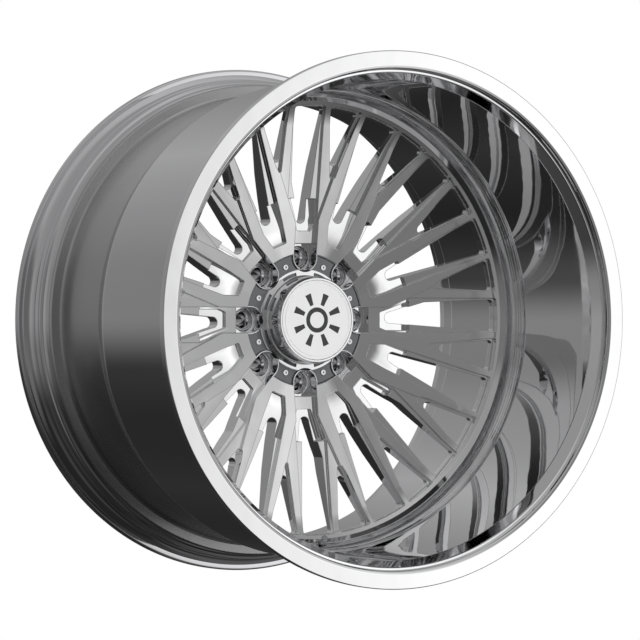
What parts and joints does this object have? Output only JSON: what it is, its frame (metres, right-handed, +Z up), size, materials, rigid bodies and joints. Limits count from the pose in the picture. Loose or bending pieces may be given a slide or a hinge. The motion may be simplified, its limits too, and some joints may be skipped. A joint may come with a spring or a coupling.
{
  "type": "forged wheel rim",
  "caption": "Deep-lip forged wheel rim with a milled many-spoke centre, lug channels, bolt-on centre cap and clamp-in tyre valve.",
  "frame": {"origin": "centre of the rear pad face that meets the hub, on the wheel's axis", "axes": "+Y along the wheel's axis towards the vehicle, -Y outboard, +Z up with a lug hole at the top and the valve at the bottom"},
  "size_m": [0.6999, 0.4296, 0.7],
  "materials": {
    "polished_barrel": "mirror polished, turned",
    "polished_centre": "mirror polished, milled",
    "weld": "satin",
    "seat_steel": "turned",
    "cap_dark": "gloss",
    "cap_chrome": "mirror",
    "cap_face": "satin",
    "emblem_ink": "satin",
    "screw_steel": "polished",
    "rubber": "matte",
    "valve_nickel": "polished",
    "core_brass": "turned"
  },
  "bodies": {
    "root": {"rim_barrel": "polished_barrel", "wheel_centre": "polished_centre", "front_weld": "polished_centre", "rear_weld": "weld", "lug_seats": "seat_steel", "cap_flange": "cap_dark", "cap_body": "cap_chrome", "cap_disc": "cap_face", "cap_emblem": "emblem_ink", "cap_screws": "screw_steel", "cap_oring": "rubber", "cap_gasket": "rubber", "valve_stem": "valve_nickel", "valve_grommet": "rubber", "valve_washer": "valve_nickel", "valve_nut": "valve_nickel", "core_body": "core_brass", "core_gasket": "rubber", "core_spring": "valve_nickel"},
    "core_pin": {"core_pin": "core_brass", "core_seal": "rubber"},
    "valve_cap_seal": {"valve_cap_seal": "rubber"},
    "valve_cap": {"valve_cap": "valve_nickel"}
  },
  "joints": [
    {"name": "core_press", "type": "slide", "parent": "root", "child": "core_pin", "axis": [0, 0.766, -0.6428], "range_m": [0, 0.0012], "stiffness_N_per_m": 400, "springref_m": -0.001, "deforming": ["core_spring"]},
    {"name": "cap_turn", "type": "hinge", "parent": "valve_cap_seal", "child": "valve_cap", "pos_m": [0, -0.11466, -0.29707], "axis": [0, -0.766, 0.6428], "range_deg": [0, 3600]},
    {"name": "cap_lift", "type": "slide", "parent": "root", "child": "valve_cap_seal", "axis": [0, -0.766, 0.6428], "range_m": [0, 0.00794]}
  ],
  "couplings": [
    {"joint": "cap_lift", "follows": "cap_turn", "m_per_rad": 0.00012637}
  ]
}
